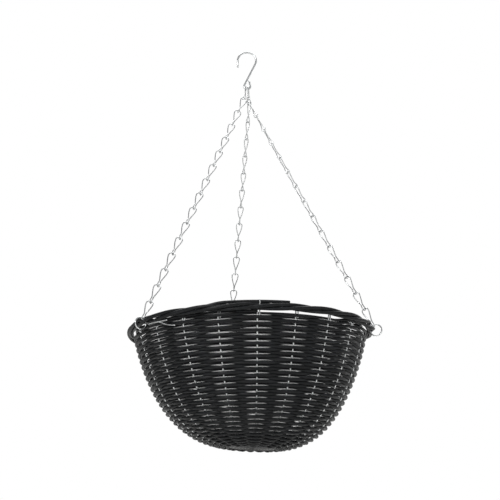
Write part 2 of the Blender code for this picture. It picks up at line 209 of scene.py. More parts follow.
# Sizes of the materials' patterns, and for those along a strand their width and their length.
# Die lines are about 0.3 mm apart on the real cane. Drawing lines on the wire are finer than a
# tenth of a millimetre, and 0.2 mm is the finest that shows.
RUBBED_SPOT = 0.012
DIE_LINE = (0.0003, 0.03)
DRAWING_LINE = (0.0002, 0.015)
ZINC_CLOUD = (0.004, 0.006)
PAPER_FIBRE = 0.004

# A Mix node's colour sockets share their names with its other kinds, so they go by number
MIX_A, MIX_B, MIXED = 6, 7, 2

# Camera: its place relative to the border's top, its pitch and roll, and the photograph's focus
CAMERA_DISTANCE = 1.3553
CAMERA_DROP = 0.2931
CAMERA_PITCH = 0.2954
CAMERA_ROLL = 0.0130
FOCAL_PIXELS = 970.36
IMAGE_PIXELS = 500
AXIS_PIXEL = 249.376
SENSOR_WIDTH = 36.0

# Softboxes: name, place, what it points at, width and height, and watts
SOFTBOXES = (
    ("top_softbox", (0.0, 0.2, 1.0), (0.0, 0.0, -0.45), (1.2, 0.8), 10.0),
    ("back_softbox", (0.0, 1.5, 0.75), (0.0, 0.0, -0.45), (2.0, 1.2), 15.0),
    ("left_softbox", (-1.1, -1.5, 0.3), (0.0, 0.0, -0.45), (0.4, 1.0), 14.0),
    ("right_softbox", (1.5, -0.7, 0.1), (0.0, 0.0, -0.4), (0.6, 1.2), 0.3),
)

# Floor: how far it reaches each way and how far it lies under the basket
FLOOR_REACH = 40.0
FLOOR_DROP = 1.1


class BasketSizes(bpy.types.PropertyGroup):
    """Sizes of the finished pieces."""

    hook_wire: bpy.props.FloatProperty(
        name="Hook wire", description="Diameter of the hook's wire",
        default=0.0030, unit="LENGTH")
    chain_wire: bpy.props.FloatProperty(
        name="Chain wire", description="Diameter of the links' wire",
        default=0.0015, unit="LENGTH")
    woven_cane: bpy.props.FloatProperty(
        name="Woven cane", description="Diameter of the bowl's cane",
        default=0.0043, unit="LENGTH")
    row_pitch: bpy.props.FloatProperty(
        name="Row pitch", description="Distance between rows of cane",
        default=0.00412, unit="LENGTH")
    stake_wire: bpy.props.FloatProperty(
        name="Stake wire", description="Diameter of the stakes",
        default=0.0018, unit="LENGTH")
    bedding: bpy.props.FloatProperty(
        name="Bedding", description="How far the soft cane is pressed in by a stake",
        default=0.0007, unit="LENGTH")
    lift: bpy.props.FloatProperty(
        name="Lift", description="How far a sloping row's proud turns ride up over the row above",
        default=0.0017, unit="LENGTH")
    drop: bpy.props.FloatProperty(
        name="Drop", description="How far an upright row's proud turns sink over the row below",
        default=0.0024, unit="LENGTH")
    hairpin_gap: bpy.props.FloatProperty(
        name="Hairpin gap", description="Distance between a stake and its turned-back end",
        default=0.0031, unit="LENGTH")
    pressed: bpy.props.FloatProperty(
        name="Pressed", description="How far the tie presses the cane's end into the border",
        default=0.0011, unit="LENGTH")
    tie_wire: bpy.props.FloatProperty(
        name="Tie wire", description="Diameter of the wire that ties the cane's end",
        default=0.0011, unit="LENGTH")
    side_rise: bpy.props.FloatProperty(
        name="Side rise", description="How far the top rows are pressed up at the two sides",
        default=0.0026, unit="LENGTH")
    looseness: bpy.props.FloatProperty(
        name="Looseness", description="How far a row of cane strays from its place",
        default=0.0001, unit="LENGTH")


class BasketColours(bpy.types.PropertyGroup):
    """Colours as sRGB hex values."""

    cane: bpy.props.StringProperty(
        name="Cane", description="Black of the plastic cane", default="121314")
    cane_scuffed: bpy.props.StringProperty(
        name="Scuffed cane", description="Cane where its skin is rubbed", default="1b1c1e")
    # Painted light: a pale colour painted under the inner turns, for light that comes through
    # between them
    painted_gap_light: bpy.props.StringProperty(
        name="Painted gap light", description="Light that edges the underside of the inner turns",
        default="f4f4f4")
    zinc: bpy.props.StringProperty(
        name="Zinc", description="Zinc on the hook and the chain", default="e0e2e3")
    # Painted light: a lighter copy of the hook and chain's zinc, for the brighter shine that the
    # stakes, the rings and the tie catch against the black cane
    zinc_painted_lit: bpy.props.StringProperty(
        name="Painted-lit zinc", description="Zinc on the stakes, the rings and the tie",
        default="eceeef")
    zinc_dull: bpy.props.StringProperty(
        name="Dull zinc", description="Zinc where it has dulled", default="8e9091")
    floor: bpy.props.StringProperty(
        name="Floor", description="Floor of the studio", default="f2f2f0")


def linear(hex_colour):
    """An sRGB hex colour as linear red, green, blue and alpha."""
    shades = []
    for place in (0, 2, 4):
        value = int(hex_colour[place:place + 2], 16) / 255
        shades.append(value / 12.92 if value <= 0.04045 else ((value + 0.055) / 1.055) ** 2.4)
    return (*shades, 1.0)


def add_node(tree, kind, inputs=None, settings=None):
    """Adds a node. An input takes a value, or a link where an output socket is given."""
    node = tree.nodes.new(kind)
    for name, value in (settings or {}).items():
        setattr(node, name, value)
    for name, value in (inputs or {}).items():
        if isinstance(value, bpy.types.NodeSocket):
            tree.links.new(value, node.inputs[name])
        else:
            node.inputs[name].default_value = value
    return node


def new_material(name):
    material = bpy.data.materials.new(name)
    material.use_nodes = True
    material.node_tree.nodes.clear()
    return material


def strand_pattern(tree, across, along, detail):
    """Noise drawn out along a strand: streaks so many metres wide and long."""
    strand = add_node(tree, "ShaderNodeAttribute", settings={"attribute_name": "strand"})
    stretched = add_node(tree, "ShaderNodeMapping", {
        "Vector": strand.outputs["Vector"], "Scale": (1 / across, 1 / across, 1 / along)})
    return add_node(tree, "ShaderNodeTexNoise", {
        "Vector": stretched.outputs["Vector"], "Scale": 1.0, "Detail": detail})


def painted_light_on_inner_turns(tree):
    """Where light is painted: on the underside of a turn inside the stakes, for light that comes
    through between the turns.
    """
    section = add_node(tree, "ShaderNodeAttribute", settings={"attribute_name": "section"})
    parts = add_node(tree, "ShaderNodeSeparateXYZ", {"Vector": section.outputs["Vector"]})
    facing = add_node(tree, "ShaderNodeMath", {
        0: parts.outputs["Y"], 1: parts.outputs["X"]}, {"operation": "ARCTAN2"})
    below = add_node(tree, "ShaderNodeMapRange", {
        "Value": facing.outputs[0], "From Min": math.radians(-32), "From Max": math.radians(-52)})
    inside = add_node(tree, "ShaderNodeMapRange", {
        "Value": parts.outputs["Z"], "From Min": 0.36, "From Max": 0.95})
    return add_node(tree, "ShaderNodeMath", {
        0: below.outputs["Result"], 1: inside.outputs["Result"]}, {"operation": "MULTIPLY"})


def extruded_polyethylene(name, roughness, with_painted_light=False):
    """Extruded polyethylene cane: a satin black skin, with die lines along it and rubbed spots,
    and where asked a pale line of painted light under the inner turns.
    """
    colours = bpy.context.scene.basket_colours
    material = new_material(name)
    tree = material.node_tree
    place = add_node(tree, "ShaderNodeTexCoord")
    rubbed = add_node(tree, "ShaderNodeTexNoise", {
        "Vector": place.outputs["Object"], "Scale": 1 / RUBBED_SPOT, "Detail": 4.0})
    spots = add_node(tree, "ShaderNodeMapRange", {
        "Value": rubbed.outputs["Fac"], "From Min": 0.45, "From Max": 0.75})
    shade = add_node(tree, "ShaderNodeMix", {
        "Factor": spots.outputs["Result"], MIX_A: linear(colours.cane),
        MIX_B: linear(colours.cane_scuffed)}, {"data_type": "RGBA"})
    if with_painted_light:
        # Painted light: a pale line painted under each inner turn, just over each turn that stands
        # proud, for light that comes through between the turns
        edge = painted_light_on_inner_turns(tree)
        shade = add_node(tree, "ShaderNodeMix", {
            "Factor": edge.outputs[0], MIX_A: shade.outputs[MIXED],
            MIX_B: linear(colours.painted_gap_light)}, {"data_type": "RGBA"})
    lines = strand_pattern(tree, *DIE_LINE, detail=2.0)
    gloss = add_node(tree, "ShaderNodeMapRange", {
        "Value": lines.outputs["Fac"], "From Min": 0.3, "From Max": 0.7,
        "To Min": roughness - 0.05, "To Max": roughness + 0.06})
    bump = add_node(tree, "ShaderNodeBump", {
        "Height": lines.outputs["Fac"], "Strength": 0.35, "Distance": 0.00004})
    shader = add_node(tree, "ShaderNodeBsdfPrincipled", {
        "Base Color": shade.outputs[MIXED], "Roughness": gloss.outputs["Result"],
        "IOR": 1.51, "Specular IOR Level": 0.13, "Normal": bump.outputs["Normal"]})
    add_node(tree, "ShaderNodeOutputMaterial", {"Surface": shader.outputs["BSDF"]})
    return material


def zinc_plated_wire(name, roughness, dulled, bright=False):
    """Drawn steel wire under zinc: bright, with drawing lines along it and duller clouds."""
    colours = bpy.context.scene.basket_colours
    # Asked for bright, the wire takes the lighter zinc, which is painted light for the shine these
    # wires catch
    shine = colours.zinc_painted_lit if bright else colours.zinc
    material = new_material(name)
    tree = material.node_tree
    clouds = strand_pattern(tree, *ZINC_CLOUD, detail=5.0)
    share = add_node(tree, "ShaderNodeMapRange", {
        "Value": clouds.outputs["Fac"], "From Min": 0.35, "From Max": 0.65, "To Max": dulled})
    shade = add_node(tree, "ShaderNodeMix", {
        "Factor": share.outputs["Result"], MIX_A: linear(shine),
        MIX_B: linear(colours.zinc_dull)}, {"data_type": "RGBA"})
    lines = strand_pattern(tree, *DRAWING_LINE, detail=2.0)
    gloss = add_node(tree, "ShaderNodeMapRange", {
        "Value": lines.outputs["Fac"], "From Min": 0.3, "From Max": 0.7,
        "To Min": roughness - 0.05, "To Max": roughness + 0.08})
    bump = add_node(tree, "ShaderNodeBump", {
        "Height": lines.outputs["Fac"], "Strength": 0.1, "Distance": 0.00001})
    shader = add_node(tree, "ShaderNodeBsdfPrincipled", {
        "Base Color": shade.outputs[MIXED], "Roughness": gloss.outputs["Result"],
        "Metallic": 1.0, "Normal": bump.outputs["Normal"]})
    add_node(tree, "ShaderNodeOutputMaterial", {"Surface": shader.outputs["BSDF"]})
    return material


def smooth_path(points, steps, closed):
    """Points of a smooth curve that passes through the given ones."""
    count = len(points)
    path = []
    for index in range(count if closed else count - 1):
        if closed:
            around = [points[(index + offset) % count] for offset in (-1, 0, 1, 2)]
        else:
            around = [points[min(max(index + offset, 0), count - 1)]
                      for offset in (-1, 0, 1, 2)]
        before, start, end, after = around
        for step in range(steps):
            share = step / steps
            path.append(0.5 * (
                2 * start + (end - before) * share
                + (2 * before - 5 * start + 4 * end - after) * share ** 2
                + (3 * start - before - 3 * end + after) * share ** 3))
    if not closed:
        path.append(points[-1])
    return path


def strand_mesh(name, points, diameter, closed=False, sides=12, cut=0.0, painted_light=None):
    """A round wire or cane along the points, as one closed mesh; a cut end is a little rounded.

    Its strand attribute says where a point lies on the surface: across the strand in X and Y,
    and along it in Z, in metres. Its section attribute says which way the surface faces,
    away from the basket's axis in X and up in Y, with the path's own strength of painted light
    in Z.
    """
    points = list(points)
    painted_light = list(painted_light or [0.0] * len(points))
    widths = [1.0] * len(points)
    if cut:
        first = points[0] + (points[1] - points[0]).normalized() * cut
        last = points[-1] + (points[-2] - points[-1]).normalized() * cut
        points = [points[0], first, *points[1:-1], last, points[-1]]
        painted_light = [painted_light[0], *painted_light, painted_light[-1]]
        widths = [1 - cut / diameter * 2, *[1.0] * (len(points) - 2), 1 - cut / diameter * 2]
    curve = bpy.data.curves.new(name, "CURVE")
    curve.dimensions = "3D"
    curve.bevel_depth = diameter / 2
    # A bevel has four sides and two more for each step of its resolution
    curve.bevel_resolution = (sides - 4) // 2
    curve.use_fill_caps = not closed
    spline = curve.splines.new("POLY")
    spline.points.add(len(points) - 1)
    for control, place, width in zip(spline.points, points, widths):
        control.co = (*place, 1.0)
        control.radius = width
    spline.use_cyclic_u = closed
    spline.use_smooth = True
    item = bpy.data.objects.new(name, curve)
    bpy.context.scene.collection.objects.link(item)
    bpy.context.view_layer.update()
    graph = bpy.context.evaluated_depsgraph_get()
    mesh = bpy.data.meshes.new_from_object(item.evaluated_get(graph))
    bpy.data.objects.remove(item, do_unlink=True)
    bpy.data.curves.remove(curve)

    lengths = [0.0]
    for start, end in zip(points, points[1:]):
        lengths.append(lengths[-1] + (end - start).length)
    rings = list(range(len(points)))
    if not closed:
        # The corners of the two caps come before the strand's own
        rings = [len(points) - 1, 0, *rings]
    shape = bmesh.new()
    shape.from_mesh(mesh)
    shape.verts.ensure_lookup_table()
    strand = shape.verts.layers.float_vector.new("strand")
    section = shape.verts.layers.float_vector.new("section")
    for index, corner in enumerate(shape.verts):
        turn = 2 * math.pi * (index % sides) / sides
        ring = rings[index // sides]
        corner[strand] = (
            math.cos(turn) * diameter / 2, math.sin(turn) * diameter / 2, lengths[ring])
        facing = (corner.co - points[ring]).normalized()
        away = Vector((points[ring].x, points[ring].y, 0)).normalized()
        corner[section] = (facing.dot(away), facing.z, painted_light[ring])
    if not closed:
        bmesh.ops.remove_doubles(shape, verts=shape.verts, dist=diameter / 1000)
    bmesh.ops.recalc_face_normals(shape, faces=shape.faces)
    shape.to_mesh(mesh)
    shape.free()
    return mesh


def joined(name, meshes):
    """Several meshes as one."""
    whole = bmesh.new()
    for mesh in meshes:
        whole.from_mesh(mesh)
        bpy.data.meshes.remove(mesh)
    mesh = bpy.data.meshes.new(name)
    whole.to_mesh(mesh)
    whole.free()
    return mesh


def add_piece(name, mesh, material):
    mesh.materials.clear()
    mesh.materials.append(material)
    for face in mesh.polygons:
        face.material_index = 0
    mesh.shade_smooth()
    mesh.set_sharp_from_angle(angle=math.radians(SHARP_ANGLE))
    piece = bpy.data.objects.new(name, mesh)
    bpy.context.scene.collection.objects.link(piece)
    return piece


def radial(angle):
    turn = math.radians(angle)
    return Vector((math.cos(turn), math.sin(turn), 0))


def tangent(angle):
    return radial(angle + FULL_TURN / 4)


def arc(centre_z, radius, start, end):
    """Points of an arc in the hook's plane."""
    count = max(2, round(abs(end - start) / HOOK_ARC_STEP))
    points = []
    for index in range(count + 1):
        angle = math.radians(start + (end - start) * index / count)
        points.append(Vector((radius * math.cos(angle), 0, centre_z + radius * math.sin(angle))))
    return points


def hook_path(wire):
    """From the open tip over the crown, down the shank and round the eye."""
    crown_z = wire / 2 - CROWN_RADIUS
    eye_z = wire / 2 - HOOK_HEIGHT + EYE_RADIUS
    cross = math.degrees(math.asin((CROWN_RADIUS + EYE_RADIUS) / (crown_z - eye_z)))
    crown = arc(crown_z, CROWN_RADIUS, 180.0, -cross)
    eye = arc(eye_z, EYE_RADIUS, 180.0 - cross, FULL_TURN + TAIL_START_ANGLE)
    tip = crown[0] - Vector((0, 0, TIP_LENGTH))
    last = math.radians(TAIL_START_ANGLE)
    tail = eye[-1] + TAIL_LENGTH * Vector((-math.sin(last), 0, math.cos(last)))
    return [tip, *crown, *eye, tail]


def corner_points(node):
    """A CAD node's corners, each once."""
    places = np.array([tuple(corner.co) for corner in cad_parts[node].data.vertices])
    return np.unique(np.round(places, 6), axis=0)


def main_axes(points):
    """The centre of some points and the directions in which they spread, widest first."""
    centre = points.mean(axis=0)
    return centre, np.linalg.svd(points - centre, full_matrices=False)[2]


def link_pose(node, turned):
    """Where a chain link hangs: its top wire, its upper loop along X and its length down -Z.

    It is turned by so many degrees about its length, away from how the CAD's link lies.
    """
    points = corner_points(node)
    centre, axes = main_axes(points)
    down = axes[0]
    reach = (points - centre) @ down
    across = points - centre - np.outer(reach, down)
    spread = np.linalg.norm(across, axis=1)
    if spread[reach > 0].max() > spread[reach < 0].max():
        down = -down
        reach = -reach
    upper = across[reach < reach.min() * END_SHARE]
    width = np.linalg.svd(upper, full_matrices=False)[2][0]
    top = centre + down * ((reach.max() + reach.min()) / 2 - LINK_LENGTH / 2)
    z_axis = -Vector(down)
    x_axis = (Vector(width) - Vector(width).dot(z_axis) * z_axis).normalized()
    turn = Matrix((x_axis, z_axis.cross(x_axis), z_axis)).transposed()
    turn = turn @ Matrix.Rotation(math.radians(turned), 3, "Z")
    return Matrix.Translation(Vector(top)) @ turn.to_4x4()


def link_path():
    """A link's centreline, its upper loop along X and its lower loop along Y."""
    widths = {
        "upper": UPPER_LOOP_WIDTH / 2, "waist": WAIST_WIDTH / 2, "lower": LOWER_LOOP_WIDTH / 2}
    half = []
    for loop, length_share, width_share, quarter_turns in LINK_OUTLINE_SHARES:
        angle = quarter_turns * math.pi / 2
        width = widths[loop] * width_share
        down = LINK_LENGTH * length_share
        half.append(Vector((width * math.cos(angle), width * math.sin(angle), -down)))
    other = [Vector((-place.x, -place.y, place.z)) for place in reversed(half)]
    return smooth_path(half + other, LINK_STEPS, closed=True)


def ring_pose(node):
    """A ring's middle, its outward direction and its centreline's radius."""
    points = corner_points(node)
    centre = (points.max(axis=0) + points.min(axis=0)) / 2
    reach = np.linalg.norm(points - centre, axis=1)
    outward = Vector((centre[0], centre[1], 0)).normalized()
    return Vector(centre), outward, float(reach.max()) - RING_WIRE / 2


def ring_angle(leg):
    low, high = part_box(f"{leg}_ring")
    middle = (low + high) / 2
    return math.degrees(math.atan2(middle.y, middle.x))


def rope_height():
    low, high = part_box("rim_hoop")
    return (low.z + high.z) / 2


def in_section(angle, direction, offset):
    """A point offset from the border's centreline, in a direction from outward (0) to up (90)."""
    turn = math.radians(direction)
    place = radial(angle) * (ROPE_RADIUS + offset * math.cos(turn))
    place.z = rope_height() + offset * math.sin(turn)
    return place


def border_samples():
    """Angles round the border and the cane's phase there; a strand faces each ring."""
    samples = []
    phase = RING_DIRECTION
    step = FULL_TURN / CANE_ROUNDS
    angles = [ring_angle(leg) for leg in LEGS]
    for angle, following, steps in zip(angles, angles[1:] + angles[:1], STEPS_TO_NEXT_RING):
        width = (following - angle) % FULL_TURN
        count = steps * SAMPLES_PER_STEP
        for index in range(count):
            share = index / count
            samples.append((angle + width * share, phase + steps * step * share))
        phase += steps * step
    return samples, phase - RING_DIRECTION, angles


def ring_bulge(angle, direction, ring_angles):
    """How far a strand is pushed out where a ring passes between it and the hoop."""
    most = (HOOP_WIRE + WIND_DIAMETER) / 2 + RING_WIRE + 2 * GAP - WIND_RADIUS
    for ring in ring_angles:
        apart = abs((angle - ring + FULL_TURN / 2) % FULL_TURN - FULL_TURN / 2)
        off = abs((direction - RING_DIRECTION + FULL_TURN / 2) % FULL_TURN - FULL_TURN / 2)
        if apart < BULGE_SPREAD and off < FULL_TURN / 4:
            return most * math.cos(math.pi / 2 * apart / BULGE_SPREAD) ** 2
    return 0.0


def border_path():
    samples, turns, ring_angles = border_samples()
    points = []
    for round_index in range(CANE_ROUNDS):
        for angle, phase in samples:
            direction = phase + turns * round_index
            offset = WIND_RADIUS + ring_bulge(angle, direction, ring_angles)
            points.append(in_section(angle, direction, offset))
    return points


def bowl_section():
    """The stakes' line from the border down to the middle of the base.

    Returns its length at each step, and its radius, height and outward normal there.
    """
    base = rope_height() - BORDER_THICKNESS / 2
    radius = BOWL_RADIUS - STAKE_INSET
    depth = BOWL_DEPTH - STAKE_INSET
    turns = np.linspace(0.0, math.pi / 2, SECTION_STEPS)
    across = radius * np.cos(turns) ** (2 / WIDTH_POWER)
    height = base - depth * np.sin(turns) ** (2 / DEPTH_POWER)
    across[-1] = 0.0
    steps = np.hypot(np.diff(across), np.diff(height))
    lengths = np.concatenate(([0.0], np.cumsum(steps)))
    slope_r = np.gradient(across, lengths)
    slope_z = np.gradient(height, lengths)
    return lengths, across, height, -slope_z, slope_r


class Bowl:
    """The bowl's section, read by the length down its wall."""

    def __init__(self):
        self.lengths, self.across, self.height, self.out_r, self.out_z = bowl_section()
        self.total = float(self.lengths[-1])

    def read(self, values, length):
        return float(np.interp(length, self.lengths, values))

    def radius(self, length):
        return self.read(self.across, length)

    def slope(self, length):
        """The sine of the wall's lean there: 0 where it stands upright, 1 where it lies flat."""
        return -self.read(self.out_z, length)

    def length_at_radius(self, radius):
        return float(np.interp(-radius, -self.across, self.lengths))

    def place(self, length, angle, offset=0.0, aside=0.0):
        """A point of the wall: offset outwards from the stakes' line and aside along the row.

        A length below zero is above the wall's top edge.
        """
        out = Vector((self.read(self.out_r, length), 0, self.read(self.out_z, length)))
        out.normalize()
        across = self.radius(length) + out.x * offset
        found = radial(angle) * across + tangent(angle) * aside
        depth = (self.height[0] - self.read(self.height, length)) / BOWL_DEPTH
        found.z = self.read(self.height, length) - min(length, 0.0) + out.z * offset
        found.z -= BASE_DROOP * found.x * depth ** 3
        return found


def row_length(rows, pitch):
    """How far down the wall a row lies; the row above the first is pressed up to the border."""
    if rows < 1:
        return FIRST_ROW - (1 - rows) * pitch * TOP_PITCH_SHARE
    return FIRST_ROW + (rows - 1) * pitch


def row_rise(rows, across_view, side_rise):
    """How far a top row is pressed up, by how far across the view it is: -1 left, 1 right."""
    rise = side_rise * across_view ** 2
    rise += float(np.interp(across_view, RIGHT_VIEWS, RIGHT_RISES))
    return rise * max(0.0, 1 - rows / RISEN_ROWS)


def weaver_path(bowl, start_turns, sizes, seed):
    """One of the two canes that chase each other down the bowl, in and out of the stakes.

    It runs clockwise as seen from above, and falls by two rows in each round. With its points it
    gives the strength of the light painted on it: only on its turns inside the stakes, fading out
    far down the wall, and weaker at the sides and the back than in front.
    """
    chance = random.Random(seed)
    swing = (sizes.woven_cane + sizes.stake_wire) / 2 - sizes.bedding
    flattening = sizes.woven_cane * FLATTENED_WIDTHS
    points = []
    painted_light = []
    drift = 0.0
    index = 0
    side = 1 if start_turns == 0 else -1
    while True:
        turns = index / WEAVER_SAMPLES / STAKE_COUNT
        rows = 2 * turns
        angle = FIRST_STAKE_ANGLE - (start_turns + turns) * FULL_TURN
        across_view = math.cos(math.radians(angle))
        length = row_length(rows, sizes.row_pitch)
        length -= row_rise(rows, across_view, sizes.side_rise)
        across = bowl.radius(min(length, bowl.total))
        if length > bowl.total - sizes.woven_cane * LAST_WIDTHS:
            break
        if index % WEAVER_SAMPLES == 0:
            aim = chance.uniform(-1, 1) * sizes.looseness
        drift += (aim - drift) / WEAVER_SAMPLES
        stakes = (start_turns + turns) * STAKE_COUNT
        wave = math.cos(math.pi * stakes) * side
        flat = min(1.0, max(0.0, (across - BASE_RING_RADIUS) / flattening))
        lean = bowl.slope(length) - LEVEL_VIEW - SIDE_VIEW * across_view ** 2
        lift = (sizes.lift if lean > 0 else sizes.drop) * lean
        # Painted light: set on the turns inside the stakes, fading out far down the wall, and
        # weaker at the sides and the back than in front
        shown = min(1.0, max(0.0, (PAINTED_LIGHT_LENGTH - length) / PAINTED_LIGHT_FADE))
        toward = max(0.0, -math.sin(math.radians(angle)))
        painted_light.append(max(0.0, -wave) * shown * (PAINTED_LIGHT_AT_SIDES + (1 - PAINTED_LIGHT_AT_SIDES) * toward))
        length = length + (drift - lift * wave) * flat
        points.append(bowl.place(length, angle, offset=swing * wave * flat))
        index += 1
    return points, painted_light


def stake_mesh(bowl, angle, sizes, chance):
    """A stake: a wire turned back inside the border, with its end beside it."""
    low = bowl.length_at_radius(BASE_RING_RADIUS)
    gap = sizes.hairpin_gap
    sway = chance.uniform(-1, 1) * sizes.looseness
    points = [bowl.place(length, angle, aside=gap) for length in HAIRPIN_LENGTHS]
    for step in range(HAIRPIN_STEPS + 1):
        turn = math.pi * step / HAIRPIN_STEPS
        height = rope_height() - BORDER_THICKNESS / 4 + gap / 2 * math.sin(turn)
        place = bowl.place(0.0, angle, aside=gap / 2 * (1 + math.cos(turn)))
        points.append(Vector((place.x, place.y, height)))
    for step in range(STAKE_STEPS + 1):
        share = step / STAKE_STEPS
        aside = sway * math.sin(share * SWAY_RADIANS)
        points.append(bowl.place(low * share, angle, aside=aside))
    path = smooth_path(points, steps=2, closed=False)
    return strand_mesh("stake", path, sizes.stake_wire, sides=10, cut=0.0002)


class BASKET_OT_hook(bpy.types.Operator):
    """Builds the wire hook"""

    bl_idname = "basket.add_hook"
    bl_label = "Add Hook"

    def execute(self, context):
        sizes = context.scene.basket_sizes
        material = zinc_plated_wire("bright_zinc_hook_wire", roughness=0.22, dulled=0.15)
        path = hook_path(sizes.hook_wire)
        mesh = strand_mesh("hook_wire", path, sizes.hook_wire, sides=20, cut=0.0003)
        hook = add_piece("hook_wire", mesh, material)
        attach(hook, "hook")
        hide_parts("hook")
        return {"FINISHED"}


class BASKET_OT_chain(bpy.types.Operator):
    """Builds the three legs of jack chain, link by link"""

    bl_idname = "basket.add_chain"
    bl_label = "Add Chain"

    def execute(self, context):
        sizes = context.scene.basket_sizes
        material = zinc_plated_wire("bright_zinc_chain_wire", roughness=0.20, dulled=0.4)
        pattern = strand_mesh("link", link_path(), sizes.chain_wire, closed=True, sides=10)
        for leg in LEGS:
            nodes = [f"{leg}_link_{index + 1:02d}" for index in range(LINKS_PER_LEG)]
            links = []
            for node in nodes:
                link = pattern.copy()
                # The first link lies square in the hook's eye
                turned = 0.0 if node == nodes[0] else LINK_TURNS[leg]
                link.transform(link_pose(node, turned))
                links.append(link)
            chain = add_piece(f"{leg}_chain", joined(f"{leg}_chain", links), material)
            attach(chain, "basket")
            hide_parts(*nodes)
        bpy.data.meshes.remove(pattern)
        return {"FINISHED"}


class BASKET_OT_rings(bpy.types.Operator):
    """Builds the rings that tie the legs to the border"""

    bl_idname = "basket.add_rings"
    bl_label = "Add Rings"

    def execute(self, context):
        material = zinc_plated_wire(
            "bright_zinc_ring_wire", roughness=0.24, dulled=0.3, bright=True)
        for leg in LEGS:
            centre, outward, radius = ring_pose(f"{leg}_ring")
            gap_angle = RING_BUTT_GAP / radius
            start = math.radians(RING_BUTT_ANGLE) + gap_angle
            points = []
            for index in range(RING_STEPS + 1):
                angle = start + (2 * math.pi - gap_angle) * index / RING_STEPS
                across = outward * math.cos(angle) + Vector((0, 0, 1)) * math.sin(angle)
                points.append(centre + across * radius)
            mesh = strand_mesh(f"{leg}_ring_wire", points, RING_WIRE, sides=14, cut=0.00015)
            ring = add_piece(f"{leg}_ring_wire", mesh, material)
            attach(ring, f"{leg}_ring")
            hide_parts(f"{leg}_ring")
        return {"FINISHED"}


class BASKET_OT_border(bpy.types.Operator):
    """Builds the hoop and the cane wound round it"""

    bl_idname = "basket.add_border"
    bl_label = "Add Border"

    def execute(self, context):
        cane = extruded_polyethylene("extruded_polyethylene_border", roughness=0.30)
        mesh = strand_mesh("border_strands", border_path(), WIND_DIAMETER, closed=True, sides=14)
        border = add_piece("border_strands", mesh, cane)
        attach(border, "basket")
        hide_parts("border_cane")
        wire = zinc_plated_wire("galvanised_hoop_wire", roughness=0.36, dulled=1.0)
        points = [in_section(index * FULL_TURN / HOOP_STEPS, 0.0, 0.0)
                  for index in range(HOOP_STEPS)]
        mesh = strand_mesh("hoop_wire", points, HOOP_WIRE, closed=True, sides=10)
        hoop = add_piece("hoop_wire", mesh, wire)
        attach(hoop, "basket")
        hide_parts("rim_hoop")
        return {"FINISHED"}


class BASKET_OT_cane_end(bpy.types.Operator):
    """Builds the border cane's cut end and the wire tie over it"""

    bl_idname = "basket.add_cane_end"
    bl_label = "Add Cane End"

    def execute(self, context):
        sizes = context.scene.basket_sizes
        cane = extruded_polyethylene("extruded_polyethylene_cut_end", roughness=0.30)
        leave, free, last = TAIL_ANGLES
        lying = WIND_RADIUS + (WIND_DIAMETER + END_DIAMETER) / 2 - sizes.pressed
        points = []
        for index in range(TAIL_STEPS + 1):
            angle = leave + (last - leave) * index / TAIL_STEPS
            rise = min(1.0, (angle - leave) / (free - leave))
            rise = rise * rise * (3 - 2 * rise)
            offset = WIND_RADIUS + (lying - WIND_RADIUS) * rise
            points.append(in_section(angle, 90.0 + TAIL_LEAN * (1 - rise), offset))
        mesh = strand_mesh("cane_cut_end", points, END_DIAMETER, sides=16, cut=0.0003)
        cut_end = add_piece("cane_cut_end", mesh, cane)
        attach(cut_end, "basket")
        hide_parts("cane_end")

        wire = zinc_plated_wire("tinned_tie_wire", roughness=0.22, dulled=0.2, bright=True)
        low = (HOOP_WIRE + sizes.tie_wire) / 2 + GAP
        high = (END_DIAMETER + sizes.tie_wire) / 2 + GAP
        slope = math.degrees(math.asin((low - high) / lying))
        points = []
        for centre, reach, start, end in (
                (0.0, low, 180.0 - slope, FULL_TURN + slope),
                (lying, high, slope, 180.0 - slope)):
            for index in range(TIE_STEPS + 1):
                turn = math.radians(start + (end - start) * index / TIE_STEPS)
                place = radial(TIE_ANGLE) * (ROPE_RADIUS + reach * math.cos(turn))
                place.z = rope_height() + centre + reach * math.sin(turn)
                points.append(place)
        mesh = strand_mesh("tie_loop", points, sizes.tie_wire, closed=True, sides=10)
        tie = add_piece("tie_loop", mesh, wire)
        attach(tie, "basket")
        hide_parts("cane_tie")
        return {"FINISHED"}


class BASKET_OT_weave(bpy.types.Operator):
    """Builds the woven bowl of two canes that chase each other round the stakes"""

    bl_idname = "basket.add_weave"
    bl_label = "Add Weave"

    def execute(self, context):
        sizes = context.scene.basket_sizes
        # The weave's material paints light under the inner turns
        cane = extruded_polyethylene(
            "extruded_polyethylene_weave_painted_light", roughness=0.32, with_painted_light=True)
        bowl = Bowl()
        for name, start, seed in (("first_weaver", 0.0, 4), ("second_weaver", 0.5, 9)):
            points, painted_light = weaver_path(bowl, start, sizes, seed)
            mesh = strand_mesh(name, points, sizes.woven_cane, sides=10, cut=0.0003, painted_light=painted_light)
            weaver = add_piece(name, mesh, cane)
            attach(weaver, "basket")
            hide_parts("weave")
        return {"FINISHED"}


